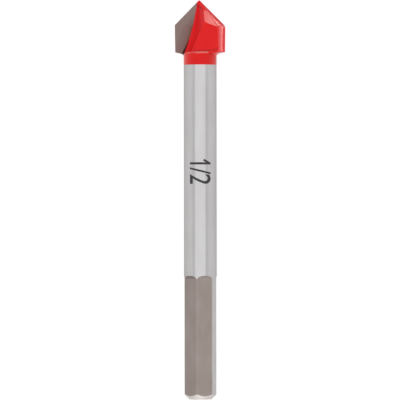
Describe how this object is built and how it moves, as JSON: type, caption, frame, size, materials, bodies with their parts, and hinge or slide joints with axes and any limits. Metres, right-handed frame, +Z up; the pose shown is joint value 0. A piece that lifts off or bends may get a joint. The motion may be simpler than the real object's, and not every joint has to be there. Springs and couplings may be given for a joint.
{
  "type": "glass and tile drill bit",
  "caption": "Spear-point drill bit for glass and tile: a ground carbide head brazed to a round steel shank with a hex drive end.",
  "frame": {"origin": "centre of the shank's end face, on the bit's axis", "axes": "+Y along the axis towards the point, +Z up from the surface the bit lies on, +X to the right of the pictured side"},
  "size_m": [0.0124, 0.0986, 0.008],
  "materials": {
    "shank": "satin nickel-plated steel",
    "carbide_head": "gloss red paint, rake faces ground bare",
    "braze_joint": "gloss red paint over braze"
  },
  "bodies": {
    "root": {"shank": "shank", "carbide_head": "carbide_head", "braze_joint": "braze_joint"}
  },
  "joints": []
}
